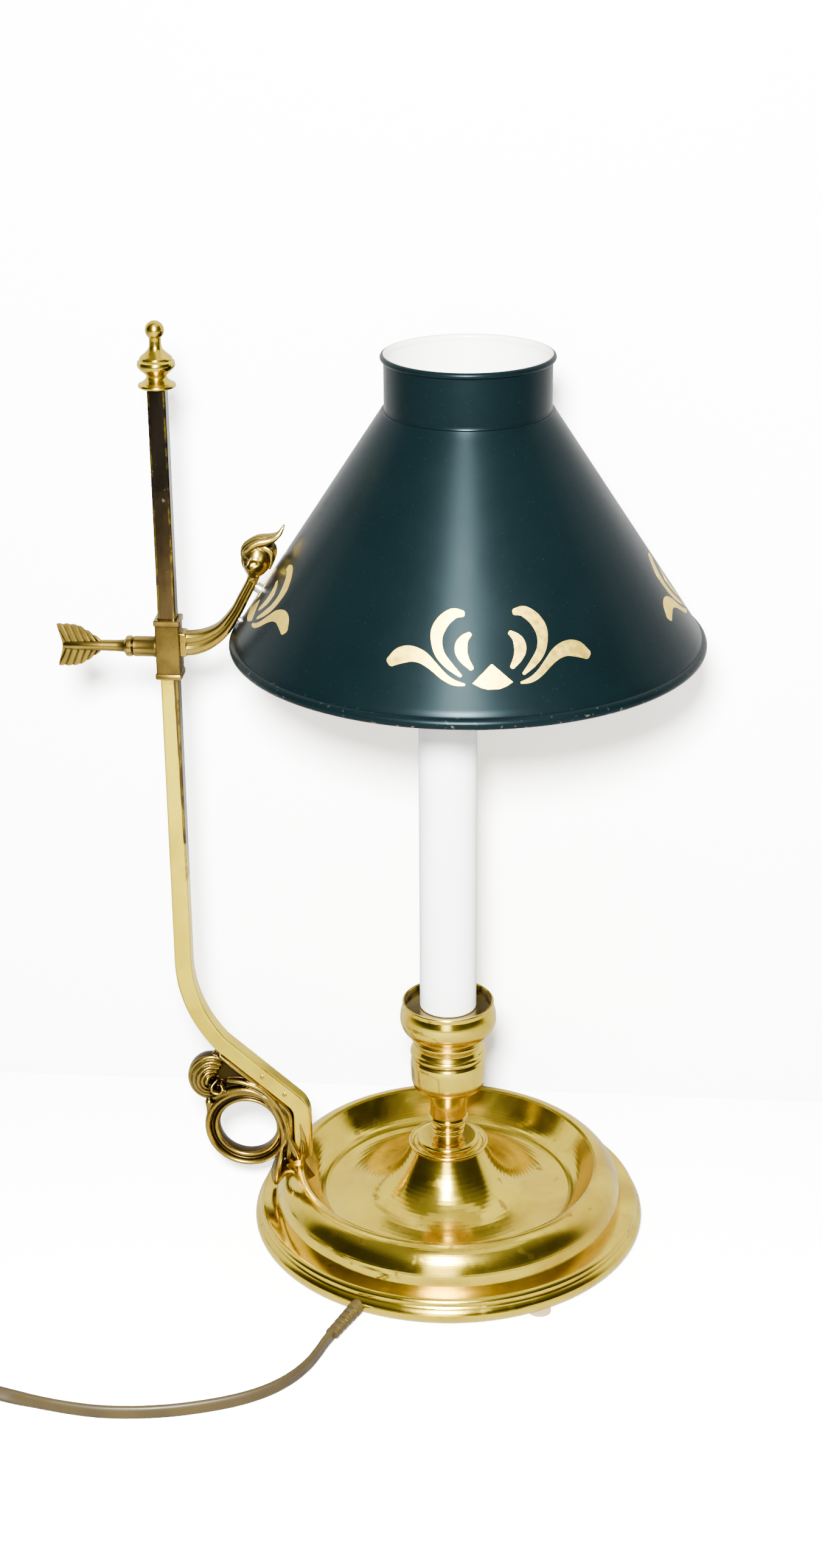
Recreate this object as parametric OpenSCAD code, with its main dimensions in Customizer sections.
// Bouillotte lamp: a spun brass pan foot with a turned candle stem, a square rod that rises
// from the rim of the pan, and a metal shade on a carriage that slides on the rod.
// The origin is on the table under the candle, +Z is up, and the rod stands at -X.

/* [Foot and pan] */
// Outermost radius of the foot bead
foot_r = 79.3; // [76:0.1:88]
// Radius of the rounded bead at the very bottom
foot_bead_r = 3.6; // [3:0.1:4.2]
// Radius of the smaller bead above it
ledge_bead_r = 1.9; // [1.5:0.1:2.3]
// How far the smaller bead stands back from the bottom bead
ledge_step = 2; // [1.5:0.1:2.6]
// Radius at which the dome rises from the ledge
dome_r = 70.8; // [68:0.1:72]
// How far in the crest of the dome lies from its foot
dome_w = 10.3; // [8:0.1:12]
// Height of the crest of the dome above the table
crest_z = 26.5; // [24:0.1:30]
// Radius of the lowest ring of the pan
trough_r = 42; // [34:0.5:46]
// Height of the lowest ring of the pan above the table
trough_z = 14; // [13.4:0.1:16]
// Radius of the bell at its top
bell_r = 15; // [14:0.1:17]
// Height of the top of the bell above the table
bell_z = 34.6; // [32:0.1:38]
// How far the bell spreads just below its top
bell_flare = 6.5; // [2:0.1:9]
// Thickness of the spun sheet
shell_t = 0.9; // [0.7:0.1:1.1]
// Thickness of the felt under the foot
felt_t = 1.2; // [0.8:0.1:2]
// Width of the loose tab of felt that shows at the edge
felt_tab_w = 9; // [6:0.5:12]
// Direction of the felt tab around the foot, in degrees
felt_tab_az = -58; // [-90:1:-30]
// Radius of the cast-iron weight inside the foot
weight_r = 50; // [44:0.5:54]
// Underside of the weight above the table
weight_z = 4.2; // [3.6:0.1:5]

/* [Stem and candle cup] */
// Radius of the rim of the little dish on the bell
dish_r = 16.2; // [15.6:0.1:18]
// Height of the little dish
dish_h = 2.3; // [1.8:0.1:3]
// Radius of the raised step inside the little dish
dish_step_r = 12.6; // [11.8:0.1:13.4]
// Height of the step above the rim of the little dish
dish_step_h = 1.8; // [1.4:0.1:2.4]
// Height of the neck
neck_h = 24; // [22:0.1:32]
// Radius of the neck at its foot
neck_foot_r = 5.5; // [5.3:0.1:6.2]
// Radius of the neck at its waist
neck_waist_r = 7.4; // [6.2:0.1:8]
// Radius of the bulge low on the neck
neck_bulge_r = 8; // [7.6:0.1:9]
// Radius of the top of the neck
neck_top_r = 9.4; // [9:0.1:10.6]
// Height of the urn
urn_h = 13.3; // [13:0.1:18]
// Largest radius of the urn
urn_r = 15.1; // [15:0.1:17]
// Height of the candle cup from the urn to its lip
cup_h = 24.8; // [20:0.1:26]
// Largest radius of the candle cup
cup_r = 19.2; // [18.8:0.1:21]
// Radius of the waist under the cup
cup_waist_r = 13.3; // [12.8:0.1:15.4]
// Radius of the mouth of the cup
mouth_r = 17.2; // [16.8:0.1:18]
// Depth of the recess that the candle stands in
recess_d = 2.6; // [2:0.1:4]

/* [Candle, socket and bulb] */
// Outer radius of the candle sleeve
sleeve_r = 11.2; // [11:0.1:12]
// Wall of the candle sleeve
sleeve_t = 1; // [0.6:0.1:1.1]
// Length of the candle sleeve
sleeve_h = 150; // [140:1:156]
// Outer radius of the threaded pipe
pipe_r = 4.8; // [4.5:0.05:4.9]
// Inner radius of the threaded pipe
pipe_bore_r = 3.2; // [3:0.05:3.4]
// Lower end of the pipe above the table
pipe_z = 6; // [5.8:0.1:6.4]
// How far the pipe stands up above the floor of the cup
pipe_up = 6.2; // [6:0.1:8]
// Across flats of the pipe nuts
nut_af = 14; // [12.7:0.1:15]
// Thickness of the pipe nuts
nut_t = 2.8; // [2.2:0.1:3]
// Radius of the washer under the weight
washer_r = 9; // [8.2:0.1:10.5]
// Thickness of the washer under the weight
washer_t = 0.8; // [0.6:0.1:1]
// Outer radius of the socket body
socket_r = 8.9; // [8.6:0.1:9.2]
// Length of the socket body
socket_h = 31; // [30.5:0.5:33]
// How far the socket body ends below the top of the sleeve
socket_down = 2; // [1:0.5:4]
// Radius of the bulb's screw base
bulb_base_r = 5.95; // [5.9:0.01:6]
// Length of the bulb's screw base
bulb_base_h = 22; // [20:0.5:24]
// Largest radius of the bulb's glass
bulb_r = 17; // [14:0.5:18]
// Length of the bulb's glass
bulb_h = 80; // [70:1:84]

/* [Rod] */
// Width of the square bar
bar_w = 6.8; // [6.35:0.05:7.2]
// Distance of the straight bar from the candle axis
rod_x = 105.5; // [102:0.5:110]
// Height of the top end of the bar
rod_top_z = 346.8; // [330:1:370]
// Height at which the bend begins
bend_z = 115.3; // [110:0.1:120]
// Radius of the upper bend
bend_upper_r = 55.7; // [40:0.1:60]
// Radius of the lower bend
bend_lower_r = 9.6; // [8:0.1:26]
// Steepness of the bar between the bends, in degrees
bend_a = 41.3; // [40:0.1:46]
// Thickness of the brazed saddle under the bar
saddle_t = 1.2; // [0.8:0.1:1.8]
// Width of the brazed saddle, in degrees around the foot
saddle_a = 12; // [9:1:16]
// Height of the finial above the bar
finial_h = 24.6; // [20:0.2:30]
// Radius of the two widest rings of the finial
finial_r = 7; // [6:0.1:8]
// Radius of the finial's ball
finial_ball_r = 3.5; // [3:0.1:4]

/* [Carriage and thumb screw] */
// Height of the middle of the carriage above the table
carriage_z = 247.2; // [236:0.2:262]
// Height of the carriage
carriage_h = 23.6; // [20:0.2:28]
// Outer width of the carriage between its flanges
carriage_w = 9.2; // [8.8:0.1:9.6]
// Outer width of the carriage's flanges
flange_w = 10; // [9.8:0.1:10.8]
// Height of each flange
flange_h = 2.2; // [1.6:0.1:3]
// Radius of the boss for the thumb screw
boss_r = 3.9; // [3.4:0.1:4.4]
// Length of the boss
boss_l = 9; // [7:0.1:11]
// Radius of the thumb screw's thread
stud_r = 2.4; // [2:0.1:2.5]
// Thickness of the brass shoe that presses on the bar
shoe_t = 1.3; // [1:0.1:1.6]
// Radius of the thumb screw's collar
screw_collar_r = 4; // [3.4:0.1:4.6]
// Length of the thumb screw's collar
screw_collar_l = 2.6; // [2:0.1:3.4]
// Radius of the arrow's shaft
arrow_r = 2.2; // [1.8:0.1:2.5]
// Length of the arrow from its collar to its tail
arrow_l = 26.2; // [22:0.2:30]
// Length of the feathers
feather_l = 17; // [14:0.2:18]
// Width of the feathers from tip to tip
feather_w = 16.8; // [14:0.2:19]
// Thickness of the feathers
feather_t = 2.2; // [1.6:0.1:3]

/* [Shade] */
// Distance of the shade's axis from the candle axis, away from the rod
shade_x = 7.4; // [6:0.1:9]
// Outermost radius of the shade
shade_r = 89; // [86:0.1:91]
// Radius of the rolled bead along the rim
rim_bead_r = 2.1; // [1.7:0.1:2.4]
// Height of the middle of the rim bead above the table
shade_z = 253.2; // [250:0.1:256]
// Height of the cone
cone_h = 86.3; // [80:0.1:92]
// Radius of the cone at its top
cone_top_r = 31.4; // [30.8:0.1:33]
// Radius of the collar
collar_r = 30.4; // [28.6:0.1:30.6]
// Height of the collar
collar_h = 19.2; // [16:0.1:24]
// Radius of the rolled bead at the top
top_bead_r = 1.2; // [0.9:0.1:1.5]
// Thickness of the shade's sheet
sheet_t = 0.6; // [0.5:0.05:0.8]

/* [Arm] */
// Height of the arm where it meets the carriage
arm_root_h = 9.6; // [8:0.2:11]
// How far the middle of the arm's root lies above the middle of the carriage
arm_root_up = 1.8; // [1:0.1:2.6]
// Thickness of the arm where it runs along the shade
arm_slim_t = 4.2; // [3.8:0.1:4.8]
// Half the depth of the arm at the carriage
arm_depth = 3.4; // [3:0.1:4]
// Radius of the figure's head
head_r = 6; // [5:0.1:6.5]
// Radius of the screws that hold the shade
shade_screw_r = 1.2; // [1:0.05:1.3]
// Height of the lower shade screw above the rim bead
low_screw_up = 5.2; // [4.6:0.1:6]
// Height of the upper shade screw above the rim bead
high_screw_up = 17.6; // [16.6:0.1:18.2]
// Gap between the arm and the rim bead of the shade
rim_gap = 0.3; // [0.2:0.1:0.8]
// Length of the lower spacer between shade and arm
low_gap = 0.3; // [0.2:0.1:0.8]
// Length of the upper spacer between shade and arm
high_gap = 2.1; // [1.6:0.1:2.4]
// How far the middle of the head stands off the shade
head_off = 6.9; // [6.8:0.1:8]
// How far the middle of the head lies above the upper screw
head_up = 8; // [7.4:0.1:9]
// Length of the screws outside the shade
screw_l = 4.4; // [4:0.1:5]
// Height of the screws' heads
head_t = 1.3; // [1:0.1:1.5]

/* [Ring handle] */
// Radius of the finger hole
finger_r = 11.7; // [11.5:0.1:13]
// Thickness of the ring
ring_t = 6.2; // [4:0.1:6.6]
// Width of the ring
ring_w = 8; // [7:0.1:10]
// Distance of the ring's centre from the candle axis
ring_x = 82; // [81.5:0.1:83.5]
// Height of the ring's centre above the table
ring_z = 40.2; // [39:0.1:41]
// Radius of the fluted thumb rest
scroll_r = 7.7; // [7:0.1:8.4]
// Thickness of the band between the bar and the ring
band_t = 4; // [3:0.1:5]
// Thickness of the leaf that lies on the dome
leaf_t = 3.6; // [3:0.1:5]

/* [Cord] */
// Width of the flat twin cord
cord_w = 5.2; // [4.8:0.1:5.4]
// Thickness of the flat twin cord
cord_t = 2.7; // [2.4:0.1:2.8]
// Height of the cord where it leaves the foot
exit_z = 4.4; // [4.2:0.1:4.6]
// Direction in which the cord leaves the foot, in degrees
exit_az = -112.5; // [-114:0.5:-111]
// Length of the strain relief outside the foot
relief_l = 20; // [20:0.5:24]
// Radius of the strain relief where it leaves the foot
relief_r = 2.9; // [2.7:0.05:3]
// Middle radius of the stored coil
coil_r = 29; // [27:0.5:30]
// Width of the bundle of turns in the stored coil
coil_bundle_w = 11.6; // [11:0.2:13]
// Height of the bundle of turns in the stored coil
coil_bundle_h = 11; // [10.6:0.2:12]

/* [Switch and plug] */
// Length of the switch housing
switch_l = 54; // [50:1:60]
// Width of the switch housing
switch_w = 22; // [20:0.5:26]
// Height of the switch housing
switch_h = 14; // [13:0.2:17]
// Radius of the switch wheel
wheel_r = 9; // [8:0.2:10]
// Thickness of the switch wheel
wheel_t = 4; // [3:0.1:5]
// Length of the plug body
plug_l = 26; // [22:0.5:32]
// Width of the plug body
plug_w = 23; // [21:0.5:26]
// Height of the plug body
plug_h = 15; // [12:0.5:18]
// Length of the plug's blades
blade_l = 17.5; // [16:0.1:18.3]
// Distance between the plug's blades
blade_gap = 12.7; // [12.4:0.1:13]

/* [Clearances] */
// Gap at each side of the bar in the carriage
slide_gap = 0.1; // [0.05:0.01:0.2]
// Radial gap of the turning fits
turn_gap = 0.06; // [0.04:0.01:0.1]
// Gap between pieces that seat on each other
seat_gap = 0.05; // [0.02:0.01:0.1]
// Radial gap of the shade's screws in their holes
hole_gap = 0.1; // [0.05:0.01:0.2]

/* [Hidden] */
$fn = 96;
lap = 0.01;

brass = "goldenrod";
old_brass = "darkgoldenrod";

// ---- helpers for outlines ----

function arc(c, r, a0, a1, n) = [for (i = [0:n]) let (a = a0 + (a1 - a0) * i / n) c + r * [cos(a), sin(a)]];
function oval(c, rx, ry, a0, a1, n) =
    [for (i = [0:n]) let (a = a0 + (a1 - a0) * i / n) c + [rx * cos(a), ry * sin(a)]];
function bezier(p0, p1, p2, p3, n) =
    [for (i = [0:n]) let (t = i / n, s = 1 - t) s^3 * p0 + 3 * s^2 * t * p1 + 3 * s * t^2 * p2 + t^3 * p3];
// A smooth curve through the points p, with n steps from each point to the next
function curve(p, n) =
    concat([for (i = [0:len(p) - 2], j = [0:n - 1])
        let (a = p[max(i - 1, 0)], b = p[i], c = p[i + 1], d = p[min(i + 2, len(p) - 1)], t = j / n)
        0.5 * (2 * b + (c - a) * t + (2 * a - 5 * b + 4 * c - d) * t^2 + (3 * b - a - 3 * c + d) * t^3)],
        [p[len(p) - 1]]);
function unit(v) = v / norm(v);
function reverse(p) = [for (i = [len(p) - 1:-1:0]) p[i]];
// The outline p moved sideways by d, to the right of its direction
function aside(p, d) =
    [for (i = [0:len(p) - 1])
        let (v = unit(p[min(i + 1, len(p) - 1)] - p[max(i - 1, 0)])) p[i] + d * [v[1], -v[0]]];

module lathe(outline) rotate_extrude() polygon(outline);
module hex_nut(af, t, bore) difference() {
    cylinder(r = af / sqrt(3), h = t, $fn = 6);
    translate([0, 0, -1]) cylinder(r = bore, h = t + 2);
}
// Sweeps a flat oval w wide and t thick along the points p as one solid. It lies on its flat side
// where turn is 0 and stands on edge where turn is 90.
module flat_tube(p, w, t, turn = [], sides = 10) {
    rings = [for (i = [0:len(p) - 1])
        let (d = unit(p[min(i + 1, len(p) - 1)] - p[max(i - 1, 0)]),
             flat = unit([d[1], -d[0], 0]), above = cross(flat, d), a0 = len(turn) > i ? turn[i] : 0,
             side = flat * cos(a0) + above * sin(a0), up = above * cos(a0) - flat * sin(a0))
        [for (k = [0:sides - 1]) let (a = 360 * k / sides)
            p[i] + side * w / 2 * cos(a) + up * t / 2 * sin(a)]];
    n = len(p);
    polyhedron(points = [for (r = rings) for (q = r) q],
        faces = concat([[for (k = [sides - 1:-1:0]) k]],
            [for (i = [0:n - 2], k = [0:sides - 1]) let (k1 = (k + 1) % sides)
                [i * sides + k, i * sides + k1, (i + 1) * sides + k1, (i + 1) * sides + k]],
            [[for (k = [0:sides - 1]) (n - 1) * sides + k]]));
}

// ---- foot and pan ----

bead_c = [foot_r - foot_bead_r, felt_t + foot_bead_r];
ledge_c = [foot_r - ledge_step - ledge_bead_r, bead_c[1] + foot_bead_r * sin(60) + ledge_bead_r * 0.8];
ledge_z = ledge_c[1] + ledge_bead_r;
crest_r = dome_r - dome_w;
lip_in = 1.2;
dome_path = oval([crest_r, ledge_z], dome_w, crest_z - ledge_z, 0, 90, 24);
pan_path = bezier([crest_r - lip_in, crest_z - 0.5], [crest_r - 7, crest_z - 11],
    [trough_r + 10, trough_z - 0.6], [trough_r, trough_z], 16);
bell_path = bezier([trough_r, trough_z], [trough_r - 13, trough_z + 1.4],
    [bell_r + bell_flare, trough_z + bell_flare], [bell_r, bell_z], 18);
shell_path = concat(arc(bead_c, foot_bead_r, -90, 60, 20), arc(ledge_c, ledge_bead_r, -30, 90, 14),
    dome_path, pan_path, [for (i = [1:18]) bell_path[i]], [[pipe_r + seat_gap, bell_z]]);
exit_r = bead_c[0] + foot_bead_r;
exit_cut = 12;

module base_shell() color(brass) difference() {
    lathe(concat(shell_path, reverse(aside(shell_path, -shell_t))));
    rotate([0, 0, exit_az]) translate([exit_r - exit_cut, 0, exit_z]) rotate([0, 90, 0])
        cylinder(r = relief_r + seat_gap, h = exit_cut + 1);
    translate([0, 0, bell_z - 3]) cylinder(r = pipe_r + seat_gap, h = 6);
}

weight_top_z = trough_z - shell_t - 0.3;
pocket_z = pipe_z + 0.6 + nut_t + washer_t;
channel_w = cord_w + 2;

module base_weight() color("dimgray") difference() {
    translate([0, 0, weight_z]) cylinder(r = weight_r, h = weight_top_z - weight_z);
    cylinder(r = pipe_r + 0.2, h = weight_top_z + 1);
    translate([0, 0, weight_z - 1]) cylinder(r = washer_r + 2, h = pocket_z - weight_z + 1);
    rotate([0, 0, exit_az]) translate([0, -channel_w / 2, weight_z - 1])
        cube([weight_r + 1, channel_w, exit_z + cord_t / 2 + 0.8 - weight_z + 1]);
}

felt_r = bead_c[0] - 0.5;
module felt_pad() color("wheat") {
    cylinder(r = felt_r, h = felt_t - seat_gap);
    rotate([0, 0, felt_tab_az]) translate([exit_r - felt_tab_w / 2 + 0.7, 0, 0])
        cylinder(r = felt_tab_w / 2, h = felt_t - seat_gap);
}

// ---- stem ----

dish_z = bell_z + seat_gap;
step_z = dish_z + dish_h + dish_step_h;
neck_z = step_z + seat_gap;
urn_z = neck_z + neck_h;
cup_z = urn_z + urn_h;
lip_z = cup_z + cup_h;
cup_floor_z = lip_z - recess_d;

module dish_collar() color(brass) lathe(concat(
    [[pipe_r + seat_gap, dish_z], [dish_r - 1.7, dish_z]],
    curve([[dish_r - 1.5, dish_z + 0.2], [dish_r - 0.3, dish_z + dish_h * 0.4],
        [dish_r, dish_z + dish_h * 0.72], [dish_r - 0.5, dish_z + dish_h],
        [dish_r - 1.4, dish_z + dish_h * 0.96],
        [(dish_r - 1.4 + dish_step_r) / 2, dish_z + dish_h * 0.62]], 4),
    curve([[dish_step_r, dish_z + dish_h * 0.76], [dish_step_r, step_z - dish_step_h * 0.6],
        [dish_step_r - 0.5, step_z - dish_step_h * 0.12], [dish_step_r - 1.6, step_z]], 4),
    [[pipe_r + seat_gap, step_z]]));

// The foot of the neck and two rings on it, the bulge above them, and the flare up to the urn
neck_path = concat(
    [[neck_foot_r, neck_z]],
    arc([neck_foot_r - 0.1, neck_z + neck_h * 0.1], 1, -80, 80, 8),
    arc([neck_foot_r + 0.4, neck_z + neck_h * 0.2], 1, -70, 70, 8),
    curve([[neck_foot_r + 1, neck_z + neck_h * 0.255],
        [(neck_foot_r + neck_bulge_r) / 2 + 0.3, neck_z + neck_h * 0.29],
        [neck_bulge_r - 0.3, neck_z + neck_h * 0.34], [neck_bulge_r, neck_z + neck_h * 0.38],
        [neck_bulge_r - 0.3, neck_z + neck_h * 0.41]], 4),
    curve([[neck_waist_r + 0.1, neck_z + neck_h * 0.43], [neck_waist_r, neck_z + neck_h * 0.58],
        [neck_waist_r + 0.4, neck_z + neck_h * 0.74], [neck_top_r - 0.7, neck_z + neck_h * 0.93],
        [neck_top_r, neck_z + neck_h]], 5));
module neck() color(brass)
    lathe(concat([[pipe_r + seat_gap, neck_z]], neck_path, [[pipe_r + seat_gap, urn_z]]));

module urn() color(brass) translate([0, 0, seat_gap]) lathe(concat(
    [[pipe_r + seat_gap, urn_z], [urn_r - 1.8, urn_z]],
    curve([[urn_r - 1.4, urn_z + 0.1], [urn_r - 0.8, urn_z + urn_h * 0.06],
        [urn_r - 0.3, urn_z + urn_h * 0.22], [urn_r - 0.1, urn_z + urn_h * 0.45],
        [urn_r, urn_z + urn_h * 0.76], [urn_r - 0.3, urn_z + urn_h * 0.92]], 5),
    [[urn_r - 0.8, cup_z - seat_gap], [pipe_r + seat_gap, cup_z - seat_gap]]));

cup_low_path = concat(
    arc([urn_r - 1.6, cup_z + 1.9], 1.7, -75, 75, 10),
    curve([[cup_waist_r + 0.2, cup_z + cup_h * 0.18], [cup_waist_r, cup_z + cup_h * 0.21],
        [cup_waist_r + 0.3, cup_z + cup_h * 0.25]], 4),
    arc([cup_waist_r + 0.15, cup_z + cup_h * 0.32], 1.1, -70, 70, 8));
cup_high_path = concat(
    curve([[cup_waist_r + 0.8, cup_z + cup_h * 0.385], [cup_r - 3, cup_z + cup_h * 0.44],
        [cup_r - 1, cup_z + cup_h * 0.53], [cup_r, cup_z + cup_h * 0.66],
        [cup_r - 0.25, cup_z + cup_h * 0.8], [(cup_r + mouth_r) / 2 - 0.1, cup_z + cup_h * 0.92]], 5),
    arc([mouth_r + 0.45, lip_z - 0.6], 0.6, -40, 120, 8),
    [[mouth_r, lip_z - 0.4], [mouth_r - 0.3, cup_floor_z]]);
module candle_cup() color(brass) translate([0, 0, seat_gap]) lathe(concat([[pipe_r + seat_gap, cup_z]],
    cup_low_path, cup_high_path, [[pipe_r + seat_gap, cup_floor_z]]));

// ---- pipe, nuts and washer ----

pipe_top_z = cup_floor_z + pipe_up;
module threaded_pipe() color("silver") difference() {
    translate([0, 0, pipe_z]) cylinder(r = pipe_r, h = pipe_top_z - pipe_z);
    cylinder(r = pipe_bore_r, h = pipe_top_z + 1);
}
module pipe_nut() color("silver") translate([0, 0, pocket_z - washer_t - nut_t - seat_gap])
    hex_nut(nut_af, nut_t - seat_gap, pipe_r);
module pipe_washer() color("silver") translate([0, 0, pocket_z - washer_t - seat_gap]) difference() {
    cylinder(r = washer_r, h = washer_t);
    translate([0, 0, -1]) cylinder(r = pipe_r + 0.2, h = 5);
}
module cup_nut() color("silver") translate([0, 0, cup_floor_z + 2 * seat_gap])
    hex_nut(nut_af, nut_t, pipe_r);

// ---- socket, candle and bulb ----

sleeve_z = cup_floor_z + 2 * seat_gap;
sleeve_top_z = sleeve_z + sleeve_h;
socket_top_z = sleeve_top_z - socket_down;
socket_z = socket_top_z - socket_h;
bracket_z = cup_floor_z + nut_t + 4 * seat_gap;
strap_w = 6;
strap_t = 0.8;
strap_x = socket_r - 1.4;
socket_bore_r = bulb_base_r + 1.2;
floor_t = 6;
thread_t = 0.6;
glass_z = socket_z + floor_t + 1.6 + bulb_base_h;

module socket_bracket() color("silver") {
    translate([0, 0, bracket_z]) difference() {
        cylinder(r = socket_r - 0.4, h = 2);
        translate([0, 0, -1]) cylinder(r = pipe_r, h = 4);
    }
    translate([-strap_x - strap_t / 2, -strap_w / 2, bracket_z])
        cube([strap_t, strap_w, socket_z - 1.6 - bracket_z]);
    translate([-strap_x - strap_t / 2, -strap_w / 2, socket_z - 1.6 - lap])
        cube([strap_x + strap_t / 2 - 3.6, strap_w, 1.6 - seat_gap]);
}
module socket_body() color("saddlebrown") difference() {
    translate([0, 0, socket_z]) cylinder(r = socket_r, h = socket_h);
    translate([0, 0, socket_z + floor_t]) cylinder(r = socket_bore_r, h = socket_h);
}
module socket_thread() color("gold") translate([0, 0, socket_z + floor_t + seat_gap]) difference() {
    cylinder(r = socket_bore_r - seat_gap, h = socket_h - floor_t - 2);
    translate([0, 0, 1]) cylinder(r = socket_bore_r - seat_gap - thread_t, h = socket_h);
    translate([0, 0, -1]) cylinder(r = 3, h = 4);
}
module center_contact() color("gold")
    translate([0, 0, socket_z + floor_t + seat_gap]) cylinder(r = 2.2, h = 1.4);
module terminal_screws() color("gold") for (side = [-1, 1])
    translate([0, side * 4.6, socket_z - 2 - seat_gap]) cylinder(r = 1.8, h = 2);
module feed_wires() color("black") for (side = [-1, 1])
    translate([0, side * 1.5, exit_z + cord_t / 2 + seat_gap])
        cylinder(r = 0.9, h = socket_z - seat_gap - (exit_z + cord_t / 2 + seat_gap));
module candle_sleeve() color("ivory") translate([0, 0, sleeve_z]) difference() {
    cylinder(r = sleeve_r, h = sleeve_h);
    translate([0, 0, -1]) cylinder(r = sleeve_r - sleeve_t, h = sleeve_h + 2);
}
module bulb_base() color("silver") {
    translate([0, 0, glass_z - bulb_base_h + 2]) cylinder(r = bulb_base_r, h = bulb_base_h - 2 - seat_gap);
    translate([0, 0, glass_z - bulb_base_h]) cylinder(r1 = 2, r2 = 4, h = 2 + lap);
}
// A torpedo outline: narrow neck, round belly, drawn-out tip
module bulb_glass() color("white") lathe(concat([[0, glass_z], [bulb_base_r, glass_z]],
    curve([[bulb_base_r, glass_z + 0.3], [bulb_base_r + 0.6, glass_z + bulb_h * 0.08],
        [bulb_r * 0.72, glass_z + bulb_h * 0.24], [bulb_r, glass_z + bulb_h * 0.42],
        [bulb_r * 0.86, glass_z + bulb_h * 0.63], [bulb_r * 0.46, glass_z + bulb_h * 0.85],
        [bulb_r * 0.16, glass_z + bulb_h * 0.97]], 5),
    [[0, glass_z + bulb_h]]));

// ---- rod, saddle and finial ----

foot_x = crest_r - 1;
bend_end = [-rod_x + bend_upper_r * (1 - cos(bend_a)), bend_z - bend_upper_r * sin(bend_a)];
slope_l = (-foot_x - bend_lower_r * (1 - cos(bend_a)) - bend_end[0]) / cos(bend_a);
low_bend_z = bend_end[1] - (slope_l + bend_lower_r) * sin(bend_a);
saddle_z = crest_z + saddle_t + seat_gap;

// Middle line of the bar seen from the front, from its top end down to the foot
upper_bend = arc([-rod_x + bend_upper_r, bend_z], bend_upper_r, 180, 180 + bend_a, 14);
lower_bend = arc([-foot_x - bend_lower_r, low_bend_z], bend_lower_r, bend_a, 0, 10);
bar_line = concat([[-rod_x, rod_top_z]], upper_bend, lower_bend, [[-foot_x, saddle_z + seat_gap]]);

// A flat piece w deep that follows the line p, between two distances to the side of it
module along(p, near, far, w) rotate([90, 0, 0]) linear_extrude(w, center = true)
    polygon(concat(aside(p, near), reverse(aside(p, far))));
stub_r = 1.9;
stub_l = 8;
module rod() color(brass) difference() {
    along(bar_line, -bar_w / 2, bar_w / 2, bar_w);
    translate([-rod_x, 0, rod_top_z - stub_l - 1]) cylinder(r = stub_r, h = stub_l + 2);
    pin_places() cylinder(r = pin_r, h = bar_w + 2, center = true);
}

saddle_path = concat([for (i = [16:24]) dome_path[i]], [for (i = [0:4]) pan_path[i]]);
module rod_saddle() color(brass) rotate([0, 0, 180 - saddle_a / 2]) rotate_extrude(angle = saddle_a)
    polygon(concat(aside(saddle_path, seat_gap), reverse(aside(saddle_path, saddle_t + seat_gap))));

finial_path = concat(
    arc([finial_r - 0.8, rod_top_z + 1], 0.8, -90, 90, 8),
    curve([[finial_r * 0.8, rod_top_z + finial_h * 0.085], [finial_r * 0.62, rod_top_z + finial_h * 0.13],
        [finial_r * 0.53, rod_top_z + finial_h * 0.17], [finial_r * 0.6, rod_top_z + finial_h * 0.21],
        [finial_r * 0.9, rod_top_z + finial_h * 0.29], [finial_r, rod_top_z + finial_h * 0.345],
        [finial_r * 0.97, rod_top_z + finial_h * 0.4]], 4),
    curve([[finial_r * 0.86, rod_top_z + finial_h * 0.42], [finial_r * 0.83, rod_top_z + finial_h * 0.46],
        [finial_r * 0.55, rod_top_z + finial_h * 0.53], [finial_r * 0.35, rod_top_z + finial_h * 0.6],
        [finial_r * 0.31, rod_top_z + finial_h * 0.7]], 4),
    arc([0, rod_top_z + finial_h - finial_ball_r], finial_ball_r, -50, 90, 14));
module finial() color(brass) translate([-rod_x, 0, 0]) {
    lathe(concat([[0, rod_top_z + seat_gap]], finial_path));
    translate([0, 0, rod_top_z - stub_l]) cylinder(r = stub_r - lap, h = stub_l + 1);
}

// ---- ring handle ----

pin_r = 0.8;
module pin_places() for (s = [0.55, 0.85])
    translate([bend_end[0], 0, bend_end[1]]) rotate([0, bend_a, 0]) translate([slope_l * s, 0, 0])
        rotate([90, 0, 0]) children();
module handle_pins() color(old_brass) pin_places() cylinder(r = pin_r, h = bar_w, center = true);

scroll_at = [-ring_x - 16.6, ring_z + 22.4];
band_line = concat([bend_end], lower_bend, [[-foot_x, saddle_z + 0.4]]);
leaf_path = [for (i = [0:14]) dome_path[i]];
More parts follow.
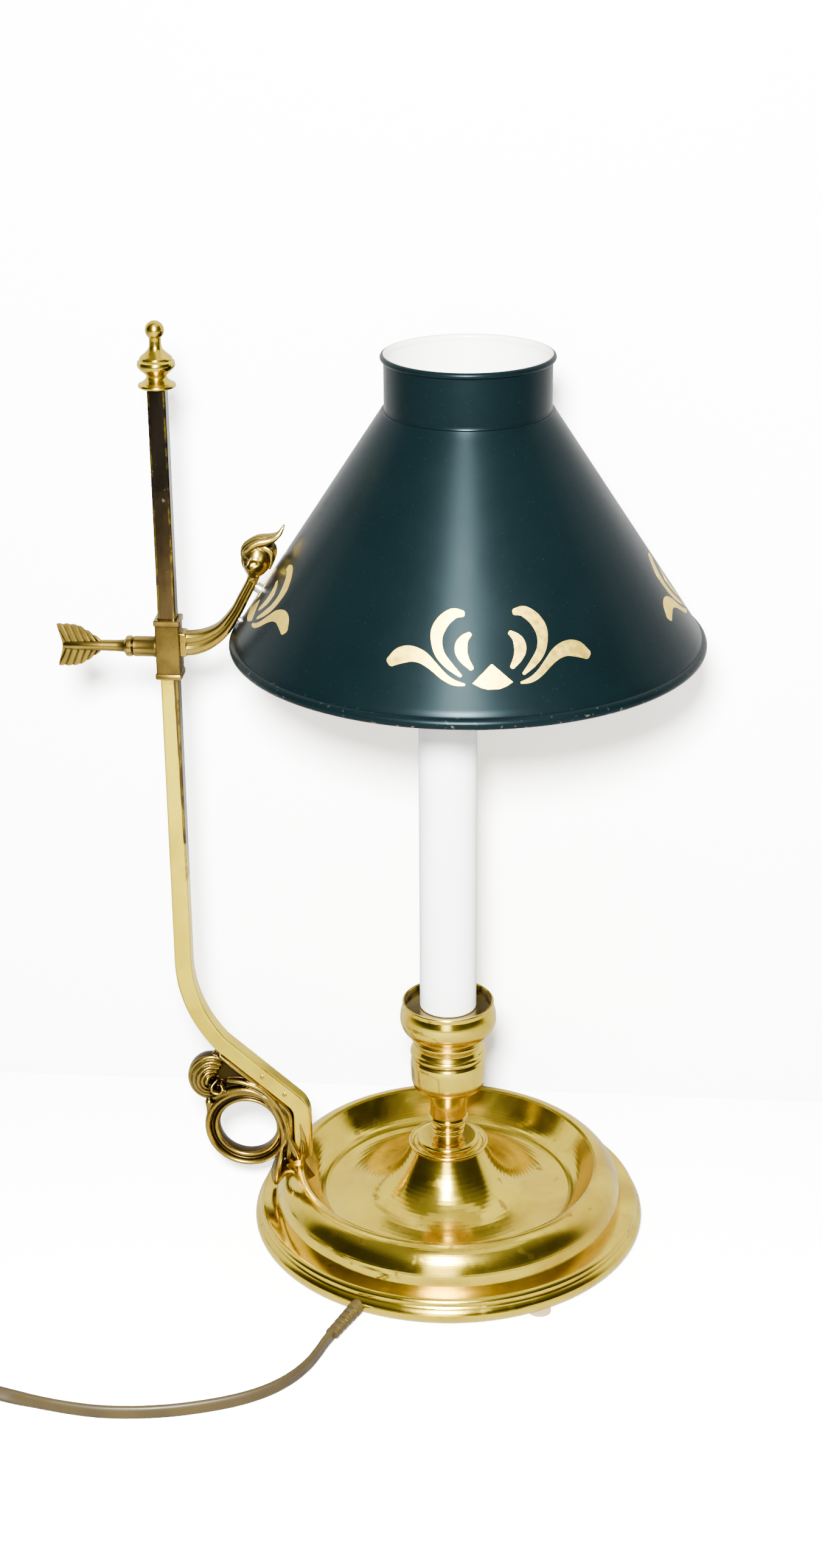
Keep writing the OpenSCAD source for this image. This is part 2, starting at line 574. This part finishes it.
// The casting is fitted to the bar, with a seat gap all along
module ring_handle() color(old_brass) difference() {
    union() {
        translate([-ring_x, 0, ring_z]) rotate([90, 0, 0])
            cylinder(r = finger_r + ring_t, h = ring_w, center = true);
        along(band_line, bar_w / 2 + seat_gap, bar_w / 2 + band_t, ring_w - 1.5);
        translate([scroll_at[0], 0, scroll_at[1]]) sphere(r = scroll_r);
        // Web between thumb rest, ring and bar
        translate([0, ring_w / 2 - 1.5, 0]) rotate([90, 0, 0]) linear_extrude(ring_w - 3) polygon([
            scroll_at + [-2, 7], bend_end + [0, -2], lower_bend[0], [-ring_x + 10, ring_z + 12],
            [-ring_x - 2, ring_z + 14], [-ring_x - 13, ring_z + 8], scroll_at + [-5, -2]]);
        // Leaf that runs from the ring down the outside of the dome
        translate([0, ring_w / 2, 0]) rotate([90, 0, 0]) linear_extrude(ring_w) mirror([1, 0])
            polygon(concat(aside(leaf_path, seat_gap), reverse(aside(leaf_path, leaf_t))));
        translate([0, ring_w / 2 - 1, 0]) rotate([90, 0, 0]) linear_extrude(ring_w - 2) polygon([
            [-dome_r + 0.6, ledge_z + 11], [-crest_r - 3.4, saddle_z + 1], [-crest_r - 4, ring_z + 2],
            [-ring_x + 14, ring_z], [-ring_x + 8, ring_z - 13]]);
    }
    translate([-ring_x, 0, ring_z]) rotate([90, 0, 0]) cylinder(r = finger_r, h = ring_w + 4, center = true);
    along(bar_line, -bar_w / 2 - seat_gap, bar_w / 2 + seat_gap, ring_w + 2);
}

// ---- carriage, shoe and thumb screw ----

hole_w = bar_w + 2 * slide_gap;
bore_r = stud_r + turn_gap;
boss_x = -rod_x - carriage_w / 2;
boss_end_x = boss_x - boss_l;
shoe_x = -rod_x - bar_w / 2 - seat_gap;
stud_x = shoe_x - shoe_t - seat_gap;
collar_gap = 0.4;

module carriage_block() color(old_brass) difference() {
    union() {
        translate([-rod_x, 0, carriage_z]) cube([carriage_w, carriage_w, carriage_h], center = true);
        for (side = [-1, 1]) translate([-rod_x, 0, carriage_z + side * (carriage_h - flange_h) / 2])
            cube([flange_w, flange_w, flange_h], center = true);
        translate([boss_end_x, 0, carriage_z]) rotate([0, 90, 0]) cylinder(r = boss_r, h = boss_l + lap);
    }
    translate([-rod_x, 0, carriage_z]) cube([hole_w, hole_w, carriage_h + 2], center = true);
    translate([boss_end_x - 1, 0, carriage_z]) rotate([0, 90, 0])
        cylinder(r = bore_r, h = boss_l + carriage_w / 2);
}
module clamp_shoe() color(brass) translate([shoe_x - shoe_t, 0, carriage_z]) rotate([0, 90, 0])
    cylinder(r = stud_r, h = shoe_t);

// Depth of the notch in the tail between the feathers
notch = 2.4;
module feather(side) {
    half = feather_w / 2;
    tail = -screw_collar_l - arrow_l;
    polygon([[tail + feather_l, 0], [tail + feather_l, side * arrow_r * 0.9],
        [tail + feather_l * 0.72, side * half * 0.55], [tail + feather_l * 0.52, side * half * 0.9],
        [tail + feather_l * 0.3, side * half], [tail, side * half],
        [tail + 0.6, side * half * 0.66], [tail + 1.8, side * half * 0.3], [tail + 2, 0]]);
}
module thumb_screw() color(old_brass) translate([boss_end_x - collar_gap, 0, carriage_z]) {
    translate([-screw_collar_l, 0, 0]) rotate([0, 90, 0]) cylinder(r = screw_collar_r, h = screw_collar_l);
    translate([-lap, 0, 0]) rotate([0, 90, 0])
        cylinder(r = stud_r, h = stud_x - boss_end_x + collar_gap + lap);
    translate([notch - screw_collar_l - arrow_l, 0, 0]) rotate([0, 90, 0])
        cylinder(r = arrow_r, h = arrow_l - notch + lap);
    translate([0, feather_t / 2, 0]) rotate([90, 0, 0]) linear_extrude(feather_t) {
        feather(1);
        feather(-1);
    }
}

// ---- shade ----

rim_c = [shade_r - rim_bead_r, shade_z];
cone_foot = rim_c + (rim_bead_r - sheet_t) * [cos(35), sin(35)];
cone_top_z = shade_z + rim_bead_r * sin(35) + cone_h;
top_z = cone_top_z + collar_h;
cone_a = atan2(cone_foot[0] - cone_top_r, cone_top_z - cone_foot[1]);
function cone_r(z) = cone_foot[0] - (z - cone_foot[1]) * tan(cone_a);

shade_path = [cone_foot, [cone_top_r, cone_top_z], [collar_r, cone_top_z], [collar_r, top_z]];
sheet_w = sheet_t / cos(cone_a);
shade_in_path = [cone_foot - [sheet_w, 0], [cone_r(cone_top_z - sheet_t) - sheet_w, cone_top_z - sheet_t],
    [collar_r - sheet_t, cone_top_z - sheet_t], [collar_r - sheet_t, top_z]];
module shade() color("darkslategray") translate([shade_x, 0, 0]) difference() {
    union() {
        lathe(concat(shade_path, reverse(shade_in_path)));
        translate([0, 0, shade_z]) rotate_extrude() translate([rim_c[0], 0]) circle(r = rim_bead_r);
        translate([0, 0, top_z]) rotate_extrude() translate([collar_r + 0.1, 0]) circle(r = top_bead_r);
    }
    for (up = [low_screw_up, high_screw_up])
        at_screw(up) cylinder(r = shade_screw_r + hole_gap, h = 8, center = true);
}
// Places its children on the outside of the cone on the side of the rod, with +Z square to the cone
module at_screw(up)
    translate([-cone_r(shade_z + up), 0, shade_z + up]) rotate([0, -90 + cone_a, 0]) children();

// ---- arm with the figure ----

// A point that stands off the cone by off, at a height above the rim bead, on the side of the rod
function off_cone(up, off) =
    [shade_x - cone_r(shade_z + up) - off * cos(cone_a), shade_z + up + off * sin(cone_a)];

// The arm starts at the carriage, passes the rim bead and then follows the cone up to the head
arm_start = [-rod_x + carriage_w / 2 + seat_gap, carriage_z + arm_root_up];
pass_half = 3;
pass_a = 159;
rim_pass = [shade_x - rim_c[0], shade_z]
    + (rim_bead_r + rim_gap + pass_half) * [cos(pass_a), sin(pass_a)];
arm_run = rim_pass - arm_start;
slim_half = arm_slim_t / 2;
low_off = low_gap + 2 * seat_gap + slim_half * 1.38;
high_off = high_gap + 5 * seat_gap + slim_half;
neck_up = high_screw_up + head_up * 0.45;
arm_line = curve([arm_start,
    arm_start + [arm_run[0] * 0.3, arm_run[1] * 0.03],
    arm_start + [arm_run[0] * 0.645, arm_run[1] * 0.33],
    rim_pass,
    off_cone(low_screw_up + 1.9, low_off),
    off_cone((low_screw_up + 1.9 + high_screw_up) / 2, (low_off + high_off) / 2),
    off_cone(high_screw_up, high_off),
    off_cone(neck_up, high_off + (head_off - high_off) / 3)], 3);
// Half height and half depth of the arm at the same places
arm_half = curve([[arm_root_h * 0.5, arm_depth], [arm_root_h * 0.48, arm_depth],
    [arm_root_h * 0.41, arm_depth],
    [pass_half, arm_depth * 1.06], [slim_half * 1.1, arm_depth * 1.1], [slim_half * 1.05, arm_depth],
    [slim_half, arm_depth * 0.76], [slim_half * 1.05, arm_depth * 0.7]], 3);
head_xz = off_cone(high_screw_up + head_up, head_off);
head_at = [head_xz[0], 0, head_xz[1]];
// Middle line of the swept hair and its half height and half depth, from the neck over the head
hair_line = curve(head_r * [[-0.83, 0.25], [-0.57, 0.87], [0.17, 1.23], [0.83, 1.33],
    [1.33, 1.6], [1.6, 2.03]], 3);
hair_half = curve(head_r * [[0.43, 0.77], [0.5, 0.8], [0.4, 0.67], [0.28, 0.43],
    [0.17, 0.23], [0.07, 0.1]], 3);

// Sweeps an oval along a line in the XZ plane; half holds its half height and half depth
module oval_sweep(line, half, sides = 16) {
    n = len(line);
    rings = [for (i = [0:n - 1])
        let (d = unit(line[min(i + 1, n - 1)] - line[max(i - 1, 0)]))
        [for (k = [0:sides - 1]) let (a = 360 * k / sides)
            [line[i][0] - d[1] * half[i][0] * cos(a), half[i][1] * sin(a),
                line[i][1] + d[0] * half[i][0] * cos(a)]]];
    polyhedron(points = [for (r = rings) for (q = r) q],
        faces = concat([[for (k = [sides - 1:-1:0]) k]],
            [for (i = [0:n - 2], k = [0:sides - 1]) let (k1 = (k + 1) % sides)
                [i * sides + k, i * sides + k1, (i + 1) * sides + k1, (i + 1) * sides + k]],
            [[for (k = [0:sides - 1]) (n - 1) * sides + k]]));
}
module arm_figure() color(old_brass) difference() {
    union() {
        oval_sweep(arm_line, arm_half);
        translate(head_at) rotate([0, 14, 0]) scale([0.92, 0.9, 1.15]) sphere(r = head_r, $fn = 28);
        translate(head_at) oval_sweep(hair_line, hair_half);
    }
    translate([shade_x, 0, 0]) for (up = [low_screw_up, high_screw_up])
        at_screw(up) cylinder(r = shade_screw_r + lap, h = screw_l + 0.2);
}
module shade_screws() color("silver") translate([shade_x, 0, 0])
    for (up = [low_screw_up, high_screw_up]) at_screw(up) {
        translate([0, 0, -sheet_t - head_t]) cylinder(r = shade_screw_r, h = sheet_t + head_t + screw_l);
        translate([0, 0, -sheet_t - seat_gap - head_t]) cylinder(r = shade_screw_r * 1.9, h = head_t);
    }
module shade_spacers() color("silver") translate([shade_x, 0, 0])
    for (s = [[low_screw_up, low_gap], [high_screw_up, high_gap]])
        at_screw(s[0]) translate([0, 0, seat_gap]) difference() {
        cylinder(r = shade_screw_r * 1.7, h = s[1]);
        translate([0, 0, -1]) cylinder(r = shade_screw_r + hole_gap, h = s[1] + 2);
    }

// ---- cord, coil, switch and plug ----

exit_dir = [cos(exit_az), sin(exit_az), 0];
lie_z = cord_t / 2 + 0.1;
relief_end = exit_r + relief_l;
relief_in = 6;
tip_r = 2.7;
module strain_relief() color("saddlebrown")
    rotate([0, 0, exit_az]) translate([0, 0, exit_z]) rotate([0, 90, 0]) difference() {
        union() {
            translate([0, 0, exit_r - relief_in]) cylinder(r = relief_r, h = relief_in + 1);
            translate([0, 0, exit_r + 1 - lap]) cylinder(r1 = relief_r, r2 = tip_r, h = relief_l - 1);
        }
        translate([0, 0, exit_r - relief_in + 1]) cube([cord_t, cord_w, 4], center = true);
    }
module inner_cord() color("saddlebrown") rotate([0, 0, exit_az])
    translate([-3, -cord_w / 2, exit_z - cord_t / 2])
        cube([exit_r - relief_in + 3 + 3 - seat_gap, cord_w, cord_t]);

port_z = 4.2;
port_at = [-171, -131.2, port_z];
switch_dir = unit([-6, 1.4, 0]);
switch_in = 5;
exit_tip = relief_end * exit_dir + [0, 0, exit_z];
// Route of the cord from the tip of the strain relief to the switch, on edge as far as the last bend
edge_z = cord_w / 2 + 0.1;
lead_points = [exit_tip + 2 * seat_gap * exit_dir, exit_tip + 5 * exit_dir - [0, 0, 0.3],
    [-42.2, -102.6, 3.4], [-44.6, -108.2, 2.9], [-48.2, -114.6, edge_z], [-52.6, -120.4, edge_z],
    [-58, -125.6, edge_z], [-64.8, -130.2, edge_z], [-73, -134.2, edge_z], [-82.5, -137.6, edge_z],
    [-93, -140.4, edge_z], [-105, -142.2, edge_z], [-118, -142.6, edge_z], [-131, -141, edge_z],
    [-144, -138.2, edge_z], [-155, -135.6, 3], [-163.5, -133.2, 3.6], port_at,
    port_at + switch_in * switch_dir];
lead_line = curve(lead_points, 2);
// How far the cord is turned on edge along that route, in degrees, until it lies flat at the switch
lead_flat = 33;
lead_ease = 6;
lead_turn = [for (i = [0:len(lead_line) - 1])
    let (left = min(max((lead_flat - i) / lead_ease, 0), 1)) 90 * left * left * (3 - 2 * left)];
switch_a = atan2(switch_dir[1], switch_dir[0]);
switch_at = [port_at[0], port_at[1], 0] + switch_dir * switch_l / 2;
switch_end = port_at + switch_dir * switch_l;
// Route from the switch to the coil, and from the coil to the plug
coil_at = [-222, -62, 0];
run_points = [switch_end - switch_in * switch_dir, switch_end, switch_end + 7 * switch_dir - [0, 0, 1.6],
    switch_end + 14 * switch_dir - [0, 0, 2.7],
    [-246, -112, lie_z], [-253, -104, lie_z], [-257, -94, lie_z], [-258, -84, lie_z],
    [-257.4, -75, 2.2], [-256.9, -68, 2.9]];
plug_at = [-238, 12, 7.5];
plug_dir = unit([0.5, 6, 0]);
plug_a = atan2(plug_dir[1], plug_dir[0]);
tail_points = [[-256.6, -58, 7.6], [-256.4, -50, 7], [-255, -41, 5], [-252, -32, 2.8], [-248, -24, lie_z],
    [-243.5, -16, 1.6], [-240, -8, 2.9], [-238.9, -1, 5.2],
    plug_at - 6 * plug_dir - [0, 0, 0.2], plug_at];

module cord_lead() color("saddlebrown") flat_tube(lead_line, cord_w, cord_t, lead_turn);
module cord_run() color("saddlebrown") flat_tube(curve(run_points, 2), cord_w, cord_t);
module cord_tail() color("saddlebrown") flat_tube(curve(tail_points, 2), cord_w, cord_t);
module cord_coil() color("saddlebrown") translate(coil_at + [0, 0, 0.1 + coil_bundle_h / 2]) rotate_extrude()
    translate([coil_r, 0]) square([coil_bundle_w, coil_bundle_h], center = true);
tie_t = 0.8;
tie_w = 10;
// Half the room inside the tie, across the bundle
tie_room = coil_bundle_w / 2 + 0.7;
module coil_tie() color("black") translate(coil_at + [0, -coil_r, 0]) difference() {
    translate([-tie_w / 2, -tie_room - tie_t, seat_gap])
        cube([tie_w, 2 * (tie_room + tie_t), coil_bundle_h + 0.1 + tie_t]);
    translate([-tie_w, -tie_room, -1]) cube([2 * tie_w, 2 * tie_room, coil_bundle_h + 1.15]);
}

// Housing of the switch, seen from above, with rounded ends
switch_end_r = 6;
module switch_outline(grow) {
    for (side = [-1, 1]) translate([side * (switch_l / 2 - switch_end_r), 0])
        circle(r = switch_end_r + grow);
    square([switch_l - 2 * switch_end_r, 2 * (switch_end_r + grow)], center = true);
    intersection() {
        circle(r = switch_l * 0.36 + grow);
        square([switch_l - 16 + 2 * grow, switch_w + 2 * grow], center = true);
    }
}
wheel_y = switch_w / 2 + 2.2 - wheel_r;
wheel_z = port_z + cord_t / 2 + 0.9;
split_z = wheel_z + wheel_t / 2;
wheel_pin_r = 1.5;
wall = 1.8;
post_at = [-switch_l * 0.22, -switch_w * 0.32];
post_r = 2.6;
module in_switch() translate(switch_at) rotate([0, 0, switch_a]) children();
module switch_room() {
    linear_extrude(switch_h - 2 * wall) switch_outline(-wall);
}
module switch_slots() {
    // The wheel's slot, the two ports for the cord and the screw's hole
    translate([0, wheel_y, wheel_z - 0.5]) cylinder(r = wheel_r + 0.6, h = wheel_t + 1);
    translate([0, 0, port_z]) cube([switch_l + 4, cord_w + 0.4, cord_t + 0.4], center = true);
    translate([post_at[0], post_at[1], -1]) cylinder(r = 1.5, h = switch_h + 2);
}
module switch_base() color("saddlebrown") in_switch() difference() {
    union() {
        difference() {
            linear_extrude(split_z) switch_outline(0);
            translate([0, 0, wall]) switch_room();
        }
        translate([post_at[0], post_at[1], 0.2]) cylinder(r = post_r, h = split_z - 0.2);
    }
    switch_slots();
}
module switch_cover() color("saddlebrown") in_switch() difference() {
    union() {
        difference() {
            translate([0, 0, split_z + seat_gap])
                linear_extrude(switch_h - split_z - seat_gap) switch_outline(0);
            translate([0, 0, wall]) switch_room();
        }
        translate([post_at[0], post_at[1], split_z + seat_gap])
            cylinder(r = post_r, h = switch_h - split_z - 1);
    }
    switch_slots();
}
module switch_screw() color("silver") in_switch() translate([post_at[0], post_at[1], 1.2])
    cylinder(r = 1.45, h = switch_h - 2);
module switch_wheel() color("black") in_switch() translate([0, wheel_y, wheel_z]) difference() {
    cylinder(r = wheel_r, h = wheel_t);
    translate([0, 0, -1]) cylinder(r = wheel_pin_r + turn_gap, h = wheel_t + 2);
}
// The contact strip carries the pin that the wheel turns on
module switch_contact() color("gold") in_switch() {
    translate([0, wheel_y, wall + seat_gap])
        cylinder(r = wheel_pin_r, h = switch_h - 2 * (wall + seat_gap));
    translate([-7, wheel_y - 3.5, wall + seat_gap]) cube([14, 7, 0.8]);
}

// One conductor runs through, the other is cut and ends on the contact strip
wire_r = 0.8;
module switch_wires() color("black") in_switch() translate([0, 0, wall + 2 * seat_gap + 0.8 + wire_r]) {
    through = switch_l - 2 * switch_in - 2 * seat_gap;
    translate([-through / 2, -cord_w / 4, 0]) rotate([0, 90, 0]) cylinder(r = wire_r, h = through);
    for (side = [-1, 1]) translate([side * (through / 2 + 5) / 2, cord_w / 4, 0]) rotate([0, 90, 0])
        cylinder(r = wire_r, h = through / 2 - 5, center = true);
}

module in_plug() translate(plug_at) rotate([0, 0, plug_a]) children();
blade_t = 1.5;
blade_w = 6.35;
blade_in = 6;
plug_neck_l = 8;
module blade_places() for (side = [-1, 1])
    translate([plug_l - blade_in, side * blade_gap / 2, 0]) children();
module plug_body() color("saddlebrown") in_plug() difference() {
    union() {
        translate([seat_gap, 0, 0]) rotate([0, 90, 0]) cylinder(r = cord_w * 0.8, h = plug_neck_l + 1);
        translate([plug_neck_l, 0, 0]) intersection() {
            translate([0, -plug_w / 2, -plug_at[2]]) cube([plug_l - plug_neck_l, plug_w, plug_h]);
            rotate([0, 90, 0]) cylinder(r = plug_w / 2, h = plug_l);
        }
    }
    blade_places() translate([0, -blade_t / 2 - seat_gap, -blade_w / 2 - seat_gap])
        cube([blade_in + 2, blade_t + 2 * seat_gap, blade_w + 2 * seat_gap]);
}
module plug_blades() color("gold") in_plug() blade_places()
    translate([seat_gap, -blade_t / 2, -blade_w / 2]) cube([blade_in + blade_l, blade_t, blade_w]);

base_shell();
base_weight();
felt_pad();
strain_relief();
inner_cord();
feed_wires();
dish_collar();
neck();
urn();
candle_cup();
threaded_pipe();
pipe_nut();
pipe_washer();
cup_nut();
socket_bracket();
socket_body();
socket_thread();
center_contact();
terminal_screws();
candle_sleeve();
bulb_base();
bulb_glass();
rod();
rod_saddle();
finial();
ring_handle();
handle_pins();
carriage_block();
arm_figure();
shade();
shade_screws();
shade_spacers();
clamp_shoe();
thumb_screw();
cord_lead();
cord_run();
cord_tail();
cord_coil();
coil_tie();
plug_body();
plug_blades();
switch_base();
switch_cover();
switch_contact();
switch_wires();
switch_screw();
switch_wheel();
